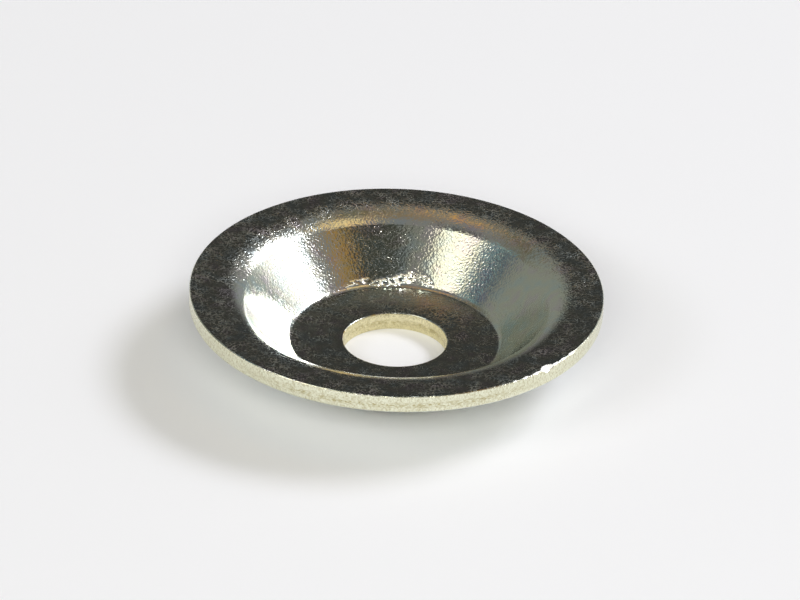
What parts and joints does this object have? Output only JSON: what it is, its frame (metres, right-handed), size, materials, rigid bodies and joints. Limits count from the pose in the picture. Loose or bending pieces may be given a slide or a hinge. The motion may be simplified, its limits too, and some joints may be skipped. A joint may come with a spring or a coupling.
{
  "type": "valve cover washer",
  "caption": "Dished sheet-steel cup washer with a flat rim, a coned side and a flat floor pierced by a round bolt hole, bright zinc plated.",
  "frame": {"origin": "centre of the bolt hole, on the underside of the flat floor that the washer stands on", "axes": "+Z along the hole's axis, from the floor up towards the open dish; X and Y are free, because the washer is round"},
  "size_m": [0.0334, 0.0334, 0.0062],
  "materials": {
    "zinc_plate": "bright zinc plate on pressed steel, with a clear to pale straw passivate, fine drawn grain on the rim and cone"
  },
  "bodies": {
    "root": {"washer": "zinc_plate"}
  },
  "joints": []
}
